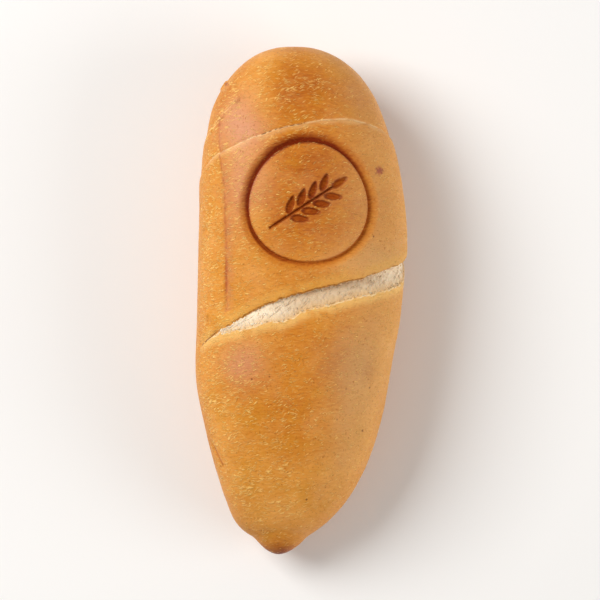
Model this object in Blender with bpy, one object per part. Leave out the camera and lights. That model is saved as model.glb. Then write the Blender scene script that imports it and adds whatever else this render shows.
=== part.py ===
"""Stamped bread roll: a long, wound roll with a pressed round mark, a torn split and a small end knob.

The roll lies on its baked flat underside with its marked face up. +Y runs along it to the blunt end, +X
across it and +Z up, and the origin is under the middle of it, on the surface that it rests on. Lengths are
in millimetres and angles in degrees until the finished mesh is scaled to metres. An angle round the roll is
0 at the crest and positive towards +X.
"""

import math

import bmesh
import bpy
import numpy as np
from mathutils import Matrix, Vector

MM = 0.001

# Driving sizes of the roll
LENGTH = 160.0
WIDTH = 65.4
HEIGHT = 50.0
WIDEST_Y = 11.0
BODY_TIP_Y = -76.9
WAIST_HEIGHT = 21.0
SINK = 1.6  # how far the round underside would reach below the flat it was baked on

# How fully the outline swells towards its blunt end and its pointed end
BLUNT_FULLNESS = (2.8, 2.3)
POINTED_FULLNESS = (2.2, 2.22)
CREST_FULLNESS = 2.25  # cross-section above the waist
BASE_FULLNESS = 2.9  # cross-section below the waist
UNDERSIDE_FULLNESS = 0.8  # below 1, the underside stays deep nearer to the ends than the outline stays wide

# The roll bends a little to the left towards both ends
BOW = 4.2
BOW_CENTRE_Y = 23.0
BOW_REACH = 80.0

# Height of the waist, where the roll is widest, from the pointed to the blunt end
WAIST_KNOTS = ((-80.0, 13.0), (-40.0, 18.5), (10.0, WAIST_HEIGHT), (80.0, 23.0))

# Knob at the pointed end, a small paraboloid
KNOB_END_Y = -80.0
KNOB_SPREAD = 12.5  # square of the knob's radius, for each millimetre from its end
KNOB_BLEND = 0.35
KNOB_STARTS_Y = (-40.0, -70.0)
NECK_Y = -74.4
NECK_BEND = 1.2
NECK_DEPTH = 0.3
NECK_WIDTH = 0.7
NECK_SPAN = (30.0, 80.0)  # angle from the crest where the fold starts to fade and where it ends

# Places where the dough rose more or less: (y, angle, reach along, reach round, height)
SWELLS = (
    (-25.0, -88.0, 13.0, 42.0, 1.15),
    (21.0, 88.0, 15.0, 38.0, 0.95),
    (-21.0, 90.0, 13.0, 40.0, -0.95),
    (27.0, -86.0, 16.0, 38.0, -0.6),
    (61.0, -84.0, 8.0, 40.0, 0.75),
    (53.0, 88.0, 9.0, 38.0, -0.5),
    (-54.0, -88.0, 10.0, 38.0, -0.5),
    (-57.0, 90.0, 11.0, 38.0, 0.55),
    (-71.0, -88.0, 5.0, 38.0, 0.9),
    (-40.0, 10.0, 18.0, 40.0, 0.5),
)

# Edges of the wound dough: (angle, y) along each edge, from the left side over the crest to the right
UPPER_SEAM = (
    (-150.0, 22.0), (-120.0, 29.0), (-90.0, 37.0), (-71.0, 42.1), (-42.0, 48.1), (-20.0, 52.3),
    (4.0, 55.2), (31.0, 56.5), (50.0, 55.2), (70.0, 52.8), (95.0, 47.5), (125.0, 40.0), (150.0, 33.0),
)
SHOULDER_SEAM = (
    (-150.0, 33.0), (-120.0, 41.0), (-90.0, 48.5), (-68.0, 54.7), (-58.0, 57.9), (-51.0, 61.2), (-41.0, 66.4),
)
SEAM_STEP = 0.55
SEAM_STEP_WIDTH = 1.3
SEAM_STEP_REACH = 13.0
SEAM_CRACK_DEPTH = 0.3
SEAM_CRACK_WIDTH = 0.45
SEAM_FADE = 12.0  # degrees over which an edge dies away at its ends

# Crease along the left side: (y, angle)
CREASE = (
    (-54.0, -54.0), (-41.0, -56.0), (-30.0, -53.0), (1.0, -43.0), (14.0, -43.5), (18.0, -39.5), (43.0, -44.0),
    (49.0, -52.0), (58.0, -56.0),
)
CREASE_DEPTH = 0.32
CREASE_WIDTH = 0.75
CREASE_FADE = 3.0

# Split where the outer turn of dough tore open: (angle, y) of its two edges
SPLIT_UPPER_EDGE = (
    (-75.0, -15.5), (-56.0, -11.4), (-39.0, -6.9), (-18.0, -0.9), (2.0, 2.6), (18.0, 4.9), (37.0, 7.2),
    (49.5, 9.1), (73.0, 12.1), (95.0, 14.8), (125.0, 18.0),
)
SPLIT_LOWER_EDGE = (
    (-75.0, -15.5), (-56.0, -11.8), (-33.0, -9.2), (-19.5, -7.3), (-5.0, -6.0), (2.0, -3.7), (14.0, -1.9),
    (32.0, 0.7), (56.0, 3.3), (80.0, 6.1), (100.0, 9.6), (125.0, 18.0),
)
SPLIT_DEPTH = 2.2
SPLIT_FULL_WIDTH = 5.0  # a split at least this wide is cut to its full depth
SPLIT_WALL = 0.14  # share of the split's width taken by the steep wall under the upper lip
SPLIT_RIM = 0.1  # and by the short step up to the lower crust
SPLIT_RIM_DEPTH = 0.16  # share of the depth left at that step
CRUMB_SLOPE = 0.75  # below 1, the crumb between them bulges
SPLIT_OPENS = (0.2, 2.0)  # widths at which the lip starts to swell and is fully swollen
LIP_SWELL = 0.5
LIP_REACH = 6.0
LIP_ROUNDING = 0.25
LIP_ROUNDING_REACH = 0.9

# Round mark pressed into the face with a ring and an ear of wheat
MARK_X = 2.6
MARK_Y = 31.1
RING_RADIUS = 19.5
RING_DEPTH = 1.25
RING_INNER_WALL = 0.95
RING_OUTER_SLOPE = 2.3
DISC_SINK = 0.25
MARK_TILT = 33.0
EAR_LENGTH = 30.0
EAR_DEPTH = 0.85
STEM_LENGTH = 8.0
STEM_RADIUS = 0.7
STEM_FADE = 5.0
GRAIN_PAIRS = 4
GRAIN_LENGTH = 6.4
GRAIN_WIDTH = 2.5
GRAIN_TAPER = 0.5
GRAIN_FLOOR = 1.15  # above 1, the dish has a flat floor
GRAIN_LEAN = 38.0
GRAIN_OFFSET = 2.6
GRAIN_SPACING = 4.2

# Net of the worked surface and of the finished solid
CUTS_ACROSS = 90
CUTS_ALONG = 240
MARK_CUTS = 2
SOLID_TRIANGLES = 11400

CRUST_COLOUR = (0.58, 0.25, 0.06, 1.0)
CRUST_ROUGHNESS = 0.5


def curve_through(knots, position):
    """Value at each position of a smooth curve through the (position, value) knots."""
    at, value = (np.array(column, float) for column in zip(*knots))
    slope = np.gradient(value, at)
    left = np.clip(np.searchsorted(at, position) - 1, 0, len(at) - 2)
    span = at[left + 1] - at[left]
    s = np.clip((position - at[left]) / span, 0.0, 1.0)
    return (
        (1 + 2 * s) * (1 - s) ** 2 * value[left]
        + s * (1 - s) ** 2 * span * slope[left]
        + s**2 * (3 - 2 * s) * value[left + 1]
        - s**2 * (1 - s) * span * slope[left + 1]
    )


def ease(low, high, value):
    """0 below low, 1 above high and a smooth rise between them."""
    s = np.clip((value - low) / (high - low), 0.0, 1.0)
    return s * s * (3 - 2 * s)


def bell(value, width):
    """1 where value is 0, dying away over width."""
    return np.exp(-((value / width) ** 2))


def girth_share(y):
    """Share of the full girth at each station: 1 at the widest, 0 at the two ends of the body."""
    to_blunt_end = np.clip((y - WIDEST_Y) / (LENGTH / 2 - WIDEST_Y), 0.0, 1.0)
    to_pointed_end = np.clip((WIDEST_Y - y) / (WIDEST_Y - BODY_TIP_Y), 0.0, 1.0)
    blunt = (1 - to_blunt_end ** BLUNT_FULLNESS[0]) ** (1 / BLUNT_FULLNESS[1])
    pointed = (1 - to_pointed_end ** POINTED_FULLNESS[0]) ** (1 / POINTED_FULLNESS[1])
    return np.where(y > WIDEST_Y, blunt, pointed)


def with_knob(radius, y):
    """The body's radius at each station, joined softly to the knob's at the pointed end."""
    knob = np.sqrt(KNOB_SPREAD * np.clip(y - KNOB_END_Y, 0.0, None)) * ease(*KNOB_STARTS_Y, y)
    difference = radius - knob
    return (radius + knob + np.sqrt(difference**2 + KNOB_BLEND**2)) / 2 - KNOB_BLEND / 2


def bow(y):
    """How far the middle of the roll lies from the Y axis at each station."""
    return -BOW * ((y - BOW_CENTRE_Y) / BOW_REACH) ** 2


def loaf_point(y, angle):
    """Point of the smooth roll at each station and angle round it."""
    share = girth_share(y)
    waist = curve_through(WAIST_KNOTS, y)
    half_width = with_knob(WIDTH / 2 * share, y)
    rise = with_knob((HEIGHT - WAIST_HEIGHT) * share, y)
    drop = with_knob((WAIST_HEIGHT + SINK) * share**UNDERSIDE_FULLNESS, y)
    sine, cosine = np.sin(angle), np.cos(angle)
    above = cosine > 0
    fullness = np.where(above, CREST_FULLNESS, BASE_FULLNESS)
    reach = (np.abs(sine) ** fullness + np.abs(cosine) ** fullness) ** (-1 / fullness)
    x = bow(y) + half_width * reach * sine
    z = waist + np.where(above, rise, drop) * reach * cosine
    return np.stack([x, y, z], axis=1)


def swell_relief(y, degrees):
    """Broad rises and hollows of the proved dough."""
    relief = np.zeros_like(y)
    for centre_y, centre, along, round_it, height in SWELLS:
        relief += height * bell(y - centre_y, along) * bell(degrees - centre, round_it)
    return relief


def seam_relief(knots, y, degrees):
    """A wound edge: the turn below it stands proud of the one above, with a fine crack at the step's foot."""
    below = curve_through(knots, degrees) - y
    decay = np.exp(-np.clip(below, 0.0, None) / SEAM_STEP_REACH)
    first, last = knots[0][0], knots[-1][0]
    present = ease(first, first + SEAM_FADE, degrees) * ease(last, last - SEAM_FADE, degrees)
    step = SEAM_STEP * ease(0.0, SEAM_STEP_WIDTH, below) * decay
    return present * (step - SEAM_CRACK_DEPTH * bell(below, SEAM_CRACK_WIDTH))


def crease_relief(y, degrees):
    """A shallow crease along the left side."""
    started = ease(-CREASE_FADE, CREASE_FADE, y - CREASE[0][0])
    present = started * ease(CREASE_FADE, -CREASE_FADE, y - CREASE[-1][0])
    beside = np.radians(degrees - curve_through(CREASE, y)) * WIDTH / 2
    return -CREASE_DEPTH * present * bell(beside, CREASE_WIDTH)


def split_relief(y, degrees):
    """The split: a rounded lip above, a steep wall under it and a slope of crumb out to the lower edge."""
    upper = curve_through(SPLIT_UPPER_EDGE, degrees)
    width = upper - curve_through(SPLIT_LOWER_EDGE, degrees)
    below = upper - y
    depth = SPLIT_DEPTH * np.clip(width / SPLIT_FULL_WIDTH, 0.0, 1.0)
    across = below / np.maximum(width, 1e-3)
    slope = SPLIT_RIM_DEPTH + (1.0 - SPLIT_RIM_DEPTH) * np.clip(1.0 - across, 0.0, 1.0) ** CRUMB_SLOPE
    cut = depth * ease(0.0, SPLIT_WALL, across) * slope * ease(1.0, 1.0 - SPLIT_RIM, across)
    opened = ease(*SPLIT_OPENS, width)
    above = np.clip(-below, 0.0, None)
    lip = LIP_SWELL * np.exp(-above / LIP_REACH) - LIP_ROUNDING * np.exp(-above / LIP_ROUNDING_REACH)
    return np.where(below < 0, opened * lip, -cut)


def grains():
    """(middle along the ear, offset from its stem, lean) of each pressed grain, and the one at its tip."""
    first = STEM_LENGTH - EAR_LENGTH / 2
    placed = []
    for pair in range(GRAIN_PAIRS):
        along = first + (pair + 0.5) * GRAIN_SPACING
        for side in (-1, 1):
            placed.append((along, side * GRAIN_OFFSET, side * GRAIN_LEAN))
    placed.append((EAR_LENGTH / 2 - GRAIN_LENGTH / 2, 0.0, 0.0))
    return placed


def ear_relief(along, beside):
    """An ear of wheat pressed into the disc: a stem and paired grains, each a shallow oval dish."""
    half = EAR_LENGTH / 2
    stem = ease(STEM_RADIUS, 0.0, np.abs(beside))
    deepest = stem * ease(-half, 1.0 - half, along) * ease(half, half - STEM_FADE, along)
    for middle, offset, lean in grains():
        turn = math.radians(lean)
        u = (along - middle) * math.cos(turn) + (beside - offset) * math.sin(turn)
        v = (beside - offset) * math.cos(turn) - (along - middle) * math.sin(turn)
        width = GRAIN_WIDTH * (1 - GRAIN_TAPER * u / GRAIN_LENGTH)
        oval = (2 * u / GRAIN_LENGTH) ** 2 + (2 * v / width) ** 2
        deepest = np.maximum(deepest, np.clip(GRAIN_FLOOR * (1 - oval), 0.0, 1.0))
    return -EAR_DEPTH * deepest


def mark_relief(x, y, z):
    """The pressed mark: a ring groove, steep inside and soft outside, and the ear of wheat within it."""
    from_middle = np.hypot(x - MARK_X, y - MARK_Y)
    beyond = from_middle - RING_RADIUS
    groove = np.where(beyond < 0, ease(-RING_INNER_WALL, 0.0, beyond), ease(RING_OUTER_SLOPE, 0.0, beyond))
    disc = DISC_SINK * ease(0.0, -RING_INNER_WALL, beyond)
    tilt = math.radians(MARK_TILT)
    along = (x - MARK_X) * math.cos(tilt) + (y - MARK_Y) * math.sin(tilt)
    beside = (y - MARK_Y) * math.cos(tilt) - (x - MARK_X) * math.sin(tilt)
    on_face = z > HEIGHT / 2
    return np.where(on_face, ear_relief(along, beside) - disc - RING_DEPTH * groove, 0.0)


def neck_relief(y, degrees):
    """A fold round the front of the knob's neck."""
    from_fold = y - NECK_Y - NECK_BEND * np.cos(np.radians(2 * degrees))
    return -NECK_DEPTH * bell(from_fold, NECK_WIDTH) * ease(NECK_SPAN[1], NECK_SPAN[0], np.abs(degrees))


def in_mark(direction):
    """True where a direction from the roll's middle meets its face within the pressed mark."""
    x = direction.x / math.hypot(direction.x, direction.z) * WIDTH / 2
    y = direction.y * LENGTH / 2
    return direction.z > 0 and math.hypot(x - MARK_X, y - MARK_Y) < RING_RADIUS + RING_OUTER_SLOPE


def sphere_net():
    """A cube cut into a net, finest along the roll and at the mark, its points moved out to a unit sphere."""
    net = bmesh.new()
    bmesh.ops.create_cube(net, size=2.0)
    for axis, cuts in ((1, CUTS_ALONG), (0, CUTS_ACROSS), (2, CUTS_ACROSS)):
        running = [e for e in net.edges if abs((e.verts[0].co - e.verts[1].co)[axis]) > 0.5]
        bmesh.ops.subdivide_edges(net, edges=running, cuts=cuts, use_grid_fill=True)
    for vert in net.verts:
        evened = Vector([math.tan(c * math.pi / 4) for c in vert.co])
        vert.co = evened.normalized()
    marked = {v for v in net.verts if in_mark(v.co)}
    inside = [e for e in net.edges if marked.issuperset(e.verts)]
    bmesh.ops.subdivide_edges(net, edges=inside, cuts=MARK_CUTS, use_grid_fill=True)
    for vert in net.verts:
        vert.co.normalize()
    mesh = bpy.data.meshes.new("worked_surface")
    net.to_mesh(mesh)
    net.free()
    return mesh


def coordinates(mesh):
    """The mesh's points as rows of an array."""
    points = np.empty(len(mesh.vertices) * 3, np.float32)
    mesh.vertices.foreach_get("co", points)
    return points.reshape(-1, 3).astype(float)


def place(mesh, points):
    """Moves the mesh's points to these rows."""
    mesh.vertices.foreach_set("co", points.astype(np.float32).ravel())
    mesh.update()


def worked_loaf():
    """The roll's whole surface in millimetres, its relief pushed out or in along the surface's normals."""
    mesh = sphere_net()
    direction = coordinates(mesh)
    y = direction[:, 1] * LENGTH / 2
    angle = np.arctan2(direction[:, 0], direction[:, 2])
    degrees = np.degrees(angle)
    smooth = loaf_point(y, angle)
    place(mesh, smooth)
    normals = np.empty(len(mesh.vertices) * 3, np.float32)
    mesh.vertex_normals.foreach_get("vector", normals)
    relief = (
        swell_relief(y, degrees)
        + seam_relief(UPPER_SEAM, y, degrees)
        + seam_relief(SHOULDER_SEAM, y, degrees)
        + crease_relief(y, degrees)
        + split_relief(y, degrees)
        + mark_relief(*smooth.T)
        + neck_relief(y, degrees)
    )
    place(mesh, smooth + normals.reshape(-1, 3) * relief[:, None])
    return mesh


def evaluated_copy(obj):
    """The mesh that an object's modifiers make."""
    bpy.context.view_layer.update()
    return bpy.data.meshes.new_from_object(obj.evaluated_get(bpy.context.evaluated_depsgraph_get()))


def thinned(mesh):
    """The mesh with as many triangles as the solid may have, kept where the surface bends most."""
    worked = bpy.data.objects.new("worked_loaf", mesh)
    bpy.context.scene.collection.objects.link(worked)
    decimate = worked.modifiers.new("thin_out", "DECIMATE")
    decimate.ratio = SOLID_TRIANGLES / (2 * len(mesh.polygons))
    thin = evaluated_copy(worked)
    bpy.data.objects.remove(worked)
    return thin


def with_flat_base(mesh):
    """The mesh cut off level at the surface it rests on, and closed there with one flat face."""
    loaf = bmesh.new()
    loaf.from_mesh(mesh)
    whole = loaf.verts[:] + loaf.edges[:] + loaf.faces[:]
    bmesh.ops.bisect_plane(loaf, geom=whole, plane_co=(0, 0, 0), plane_no=(0, 0, 1), clear_inner=True)
    rim = [e for e in loaf.edges if e.is_boundary]
    bmesh.ops.edgeloop_fill(loaf, edges=rim)
    bmesh.ops.recalc_face_normals(loaf, faces=loaf.faces[:])
    loaf.to_mesh(mesh)
    loaf.free()
    return mesh


def centre(mesh):
    """Moves the mesh sideways so that the origin is under the middle of it."""
    points = coordinates(mesh)
    middle = (points.min(axis=0) + points.max(axis=0)) / 2
    mesh.transform(Matrix.Translation((-middle[0], -middle[1], 0.0)))


def crust():
    """Golden brown crust, satin."""
    material = bpy.data.materials.new("baked_crust")
    material.use_nodes = True
    shader = material.node_tree.nodes["Principled BSDF"]
    shader.inputs["Base Color"].default_value = CRUST_COLOUR
    shader.inputs["Roughness"].default_value = CRUST_ROUGHNESS
    shader.inputs["Metallic"].default_value = 0.0
    return material


def build_roll(collection):
    """The bread roll, one solid, at its real size."""
    mesh = with_flat_base(thinned(worked_loaf()))
    mesh.name = "bread_roll"
    centre(mesh)
    mesh.transform(Matrix.Scale(MM, 4))
    mesh.materials.append(crust())
    mesh.shade_smooth()
    roll = bpy.data.objects.new("bread_roll", mesh)
    collection.objects.link(roll)


def main():
    for obj in list(bpy.data.objects):
        bpy.data.objects.remove(obj)
    collection = bpy.data.collections.new("stamped_bread_roll")
    bpy.context.scene.collection.children.link(collection)
    build_roll(collection)


main()
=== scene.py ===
"""Looks of the stamped bread roll, lying marked side up on a pale studio floor, with the camera above it.

The roll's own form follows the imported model's sizes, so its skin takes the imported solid's place. Lengths in
the classes are in millimetres and angles in degrees round the roll, 0 at the crest and positive towards +X.
A mesh is scaled to metres when it is finished.
"""

import logging
import math
import random
from dataclasses import dataclass
from enum import Enum
from typing import Any

import bmesh
import bpy
import numpy as np
from mathutils import Matrix, Vector, noise
from mathutils.bvhtree import BVHTree

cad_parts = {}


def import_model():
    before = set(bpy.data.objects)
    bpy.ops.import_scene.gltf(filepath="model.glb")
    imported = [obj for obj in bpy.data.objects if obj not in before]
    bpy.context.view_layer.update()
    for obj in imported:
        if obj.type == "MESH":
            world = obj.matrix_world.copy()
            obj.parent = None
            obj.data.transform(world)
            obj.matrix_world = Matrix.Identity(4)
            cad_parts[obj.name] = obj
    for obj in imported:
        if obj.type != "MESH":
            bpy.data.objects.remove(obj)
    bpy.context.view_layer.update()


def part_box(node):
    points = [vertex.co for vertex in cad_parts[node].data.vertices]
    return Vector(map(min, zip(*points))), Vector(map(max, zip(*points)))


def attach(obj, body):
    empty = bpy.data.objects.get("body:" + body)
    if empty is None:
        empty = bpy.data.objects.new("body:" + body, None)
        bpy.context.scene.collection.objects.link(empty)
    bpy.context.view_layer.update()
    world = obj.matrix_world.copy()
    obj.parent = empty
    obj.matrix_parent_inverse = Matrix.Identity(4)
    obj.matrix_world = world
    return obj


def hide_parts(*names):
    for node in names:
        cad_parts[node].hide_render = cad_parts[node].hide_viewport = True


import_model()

LOG = logging.getLogger("bread_roll")
MM = 0.001
NOWHERE = 50.0  # distance in mm given to points that a line doesn't reach
FACTOR, UNDER, OVER, BLENDED = 0, 6, 7, 2  # sockets of a Mix node for colours

# What the skin's mesh tells its material at each point, some of it painted shade, sheen and haze
TRACES = (
    "bake_and_shade", "bloom_and_sheen", "tan", "flecked", "seam_upper", "seam_shoulder", "cracks", "crease", "fold", "rip_below",
    "rip_above", "ring", "ring_shade", "pressed", "ear", "upside", "crumb_tone", "tip"
)

Array = np.ndarray
Pair = tuple[float, float]
Triple = tuple[float, float, float]
Tree = bpy.types.NodeTree
Socket = bpy.types.NodeSocket
Inputs = dict[Any, Any]
Traces = dict[str, Socket]


def coordinates(mesh: bpy.types.Mesh) -> Array:
    """The mesh's points as rows of x, y, z."""
    points = np.empty(len(mesh.vertices) * 3, np.float32)
    mesh.vertices.foreach_get("co", points)
    return points.reshape(-1, 3).astype(float)


def ease(low: float, high: float, value: Array) -> Array:
    """Smooth rise from 0 where value is low to 1 where it is high, or a fall if high is the lower number."""
    s = np.clip((value - low) / (high - low), 0.0, 1.0)
    return s * s * (3 - 2 * s)


def bell(value: Array, width: float) -> Array:
    """Bell curve: 1 where value is 0, dying away over width."""
    return np.exp(-((value / width) ** 2))


@dataclass(frozen=True)
class Ripple:
    """Smooth noise: its height, the length of one ripple, and a seed that sets it apart from others."""

    height: float
    size: float
    seed: float


def rippled(points: Array, layers: tuple[Ripple, ...]) -> Array:
    """Sum of layers of smooth noise over points of the roll.

    Args:
        points: Rows of x, y, z in millimetres.
        layers: The layers.

    Returns:
        A height for each point.
    """
    total = np.zeros(len(points))
    for layer in layers:
        shifted = points / layer.size + (layer.seed * 7.31, layer.seed * 3.17, layer.seed * 5.03)
        total += layer.height * np.array([noise.noise(Vector(row)) for row in shifted.tolist()])
    return total


def record(mesh: bpy.types.Mesh, name: str, values: Array) -> None:
    """Stores one value for each point of a mesh, for its material to read by name."""
    stored = mesh.attributes.new(name, "FLOAT", "POINT")
    stored.data.foreach_set("value", values.astype(np.float32))


def placed(name: str, data: bpy.types.ID) -> bpy.types.Object:
    """Makes an object of a mesh, a light or a camera and links it to the scene."""
    made = bpy.data.objects.new(name, data)
    bpy.context.scene.collection.objects.link(made)
    return made


def gone(distance: Array, present: Array) -> Array:
    """Distance to a line, pushed out of reach on either side where present is 0."""
    return distance + np.copysign(NOWHERE * (1 - present), distance)


@dataclass(frozen=True)
class Trace:
    """A smooth line drawn through a few (position, value) knots."""

    knots: tuple[Pair, ...]

    def at(self, position: Array) -> Array:
        """Value of the line.

        Args:
            position: Where to read it.

        Returns:
            Its value at each position, held level past its ends.
        """
        here, value = (np.array(column, float) for column in zip(*self.knots))
        slope = np.gradient(value, here)
        left = np.clip(np.searchsorted(here, position) - 1, 0, len(here) - 2)
        span = here[left + 1] - here[left]
        s = np.clip((position - here[left]) / span, 0.0, 1.0)
        return (
            (1 + 2 * s) * (1 - s) ** 2 * value[left] + s * (1 - s) ** 2 * span * slope[left]
            + s**2 * (3 - 2 * s) * value[left + 1] - s**2 * (1 - s) * span * slope[left + 1]
        )

    def present(self, position: Array, fade: float) -> Array:
        """How much of the line there is: 1 along it, dying away over fade inside each end."""
        first, last = self.knots[0][0], self.knots[-1][0]
        return ease(first, first + fade, position) * ease(last, last - fade, position)


@dataclass
class Surface:
    """Points on the smooth roll, before any relief."""

    y: Array
    degrees: Array
    points: Array

    def rippled(self, *layers: Ripple) -> Array:
        """Sum of layers of smooth noise at these points."""
        return rippled(self.points, layers)


@dataclass(frozen=True)
class Spots:
    """Places on the crust, each a soft oval: (y, angle, reach along, reach round, amount)."""

    places: tuple[tuple[float, float, float, float, float], ...]

    def amount(self, surface: Surface) -> Array:
        """Sum of the places' amounts.

        Args:
            surface: Points on the roll.

        Returns:
            The amount at each point.
        """
        total = np.zeros_like(surface.y)
        for y, degrees, along, round_it, amount in self.places:
            total += amount * bell(surface.y - y, along) * bell(surface.degrees - degrees, round_it)
        return total


@dataclass(frozen=True)
class Loaf:
    """The smooth form of the proved and baked roll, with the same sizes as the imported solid."""

    length: float = 160.0
    width: float = 65.4
    height: float = 50.0
    widest_y: float = 11.0
    body_tip_y: float = -76.9
    waist_height: float = 21.0
    sink: float = 1.6
    blunt_fullness: Pair = (2.8, 2.3)
    pointed_fullness: Pair = (2.2, 2.22)
    crest_fullness: float = 2.25
    base_fullness: float = 2.9
    underside_fullness: float = 0.8
    bow: float = 4.2
    bow_centre_y: float = 23.0
    bow_reach: float = 80.0
    waist: Trace = Trace(((-80.0, 13.0), (-40.0, 18.5), (10.0, 21.0), (80.0, 23.0)))
    knob_end_y: float = -80.7
    knob_spread: float = 12.5
    knob_blend: float = 0.35
    knob_begins: Pair = (-40.0, -70.0)
    swells: Spots = Spots((
        (-25.0, -88.0, 13.0, 42.0, 1.15), (21.0, 88.0, 15.0, 38.0, 0.95), (-21.0, 90.0, 13.0, 40.0, -0.95),
        (27.0, -86.0, 16.0, 38.0, -0.6), (61.0, -84.0, 8.0, 40.0, 0.75), (53.0, 88.0, 9.0, 38.0, -0.5),
        (-54.0, -88.0, 10.0, 38.0, -0.5), (-57.0, 90.0, 11.0, 38.0, 0.55), (-71.0, -88.0, 5.0, 38.0, 0.9),
        (-40.0, 10.0, 18.0, 40.0, 0.5)
    ))

    def girth_share(self, y: Array) -> Array:
        """Share of the full girth at each station: 1 at the widest, 0 at the two ends of the body."""
        to_blunt = np.clip((y - self.widest_y) / (self.length / 2 - self.widest_y), 0.0, 1.0)
        to_pointed = np.clip((self.widest_y - y) / (self.widest_y - self.body_tip_y), 0.0, 1.0)
        blunt = (1 - to_blunt ** self.blunt_fullness[0]) ** (1 / self.blunt_fullness[1])
        pointed = (1 - to_pointed ** self.pointed_fullness[0]) ** (1 / self.pointed_fullness[1])
        return np.where(y > self.widest_y, blunt, pointed)

    def with_knob(self, radius: Array, y: Array) -> Array:
        """The body's radius at each station, joined softly to the knob's at the pointed end."""
        knob = np.sqrt(self.knob_spread * np.clip(y - self.knob_end_y, 0.0, None))
        knob *= ease(*self.knob_begins, y)
        return (radius + knob + np.sqrt((radius - knob) ** 2 + self.knob_blend**2)) / 2 - self.knob_blend / 2

    def points(self, y: Array, degrees: Array) -> Array:
        """Points of the smooth roll.

        Args:
            y: Station along the roll.
            degrees: Angle round it.

        Returns:
            Rows of x, y, z.
        """
        share = self.girth_share(y)
        half_width = self.with_knob(self.width / 2 * share, y)
        rise = self.with_knob((self.height - self.waist_height) * share, y)
        drop = self.with_knob((self.waist_height + self.sink) * share**self.underside_fullness, y)
        sine, cosine = np.sin(np.radians(degrees)), np.cos(np.radians(degrees))
        fullness = np.where(cosine > 0, self.crest_fullness, self.base_fullness)
        reach = (np.abs(sine) ** fullness + np.abs(cosine) ** fullness) ** (-1 / fullness)
        x = half_width * reach * sine - self.bow * ((y - self.bow_centre_y) / self.bow_reach) ** 2
        z = self.waist.at(y) + np.where(cosine > 0, rise, drop) * reach * cosine
        return np.stack([x, y, z], axis=1)


@dataclass(frozen=True)
class WoundEdge:
    """The edge of one turn of dough: the turn below it stands proud of the one above."""

    line: Trace
    step: float = 0.55
    step_width: float = 1.3
    step_reach: float = 13.0
    crack_depth: float = 0.3
    crack_width: float = 0.45
    fade: float = 12.0
    waver: float = 0.35
    seed: float = 1.0

    def below(self, surface: Surface) -> Array:
        """Distance below the edge, wavering a little as torn dough does."""
        coarse, fine = Ripple(self.waver, 5.0, self.seed), Ripple(0.4 * self.waver, 1.4, self.seed + 1)
        return self.line.at(surface.degrees) - surface.y + surface.rippled(coarse, fine)

    def relief(self, surface: Surface) -> Array:
        """Height of the step, less the fine crack at its foot."""
        below = self.below(surface)
        decay = np.exp(-np.clip(below, 0.0, None) / self.step_reach)
        step = self.step * ease(0.0, self.step_width, below) * decay
        crack = self.crack_depth * bell(below, self.crack_width)
        return self.line.present(surface.degrees, self.fade) * (step - crack)

    def trace(self, surface: Surface) -> Array:
        """Distance below the edge for the crust's colours, far away past its ends."""
        return gone(self.below(surface), self.line.present(surface.degrees, self.fade))


@dataclass(frozen=True)
class Crease:
    """A shallow crease along the roll, where the dough folded."""

    line: Trace = Trace((
        (-8.0, -44.0), (1.0, -43.0), (10.0, -43.5), (23.0, -45.0), (36.0, -47.0), (44.6, -51.0),
        (52.0, -56.0), (60.0, -58.0)
    ))
    depth: float = 0.3
    width: float = 0.75
    radius: float = 32.7
    fade: float = 5.0
    waver: Ripple = Ripple(1.0, 6.0, 11.0)
    even_share: float = 0.75
    unevenness: Ripple = Ripple(0.5, 7.0, 12.0)

    def beside(self, surface: Surface) -> Array:
        """Distance to the right of the crease."""
        wavered = surface.degrees - self.line.at(surface.y) + surface.rippled(self.waver)
        return np.radians(wavered) * self.radius

    def relief(self, surface: Surface) -> Array:
        """Depth of the crease, uneven along it."""
        uneven = self.even_share + surface.rippled(self.unevenness)
        present = self.line.present(surface.y, self.fade)
        return -self.depth * uneven * present * bell(self.beside(surface), self.width)

    def trace(self, surface: Surface) -> Array:
        """Distance to the right of the crease for the crust's colours, far away past its ends."""
        return gone(self.beside(surface), self.line.present(surface.y, self.fade))


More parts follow.
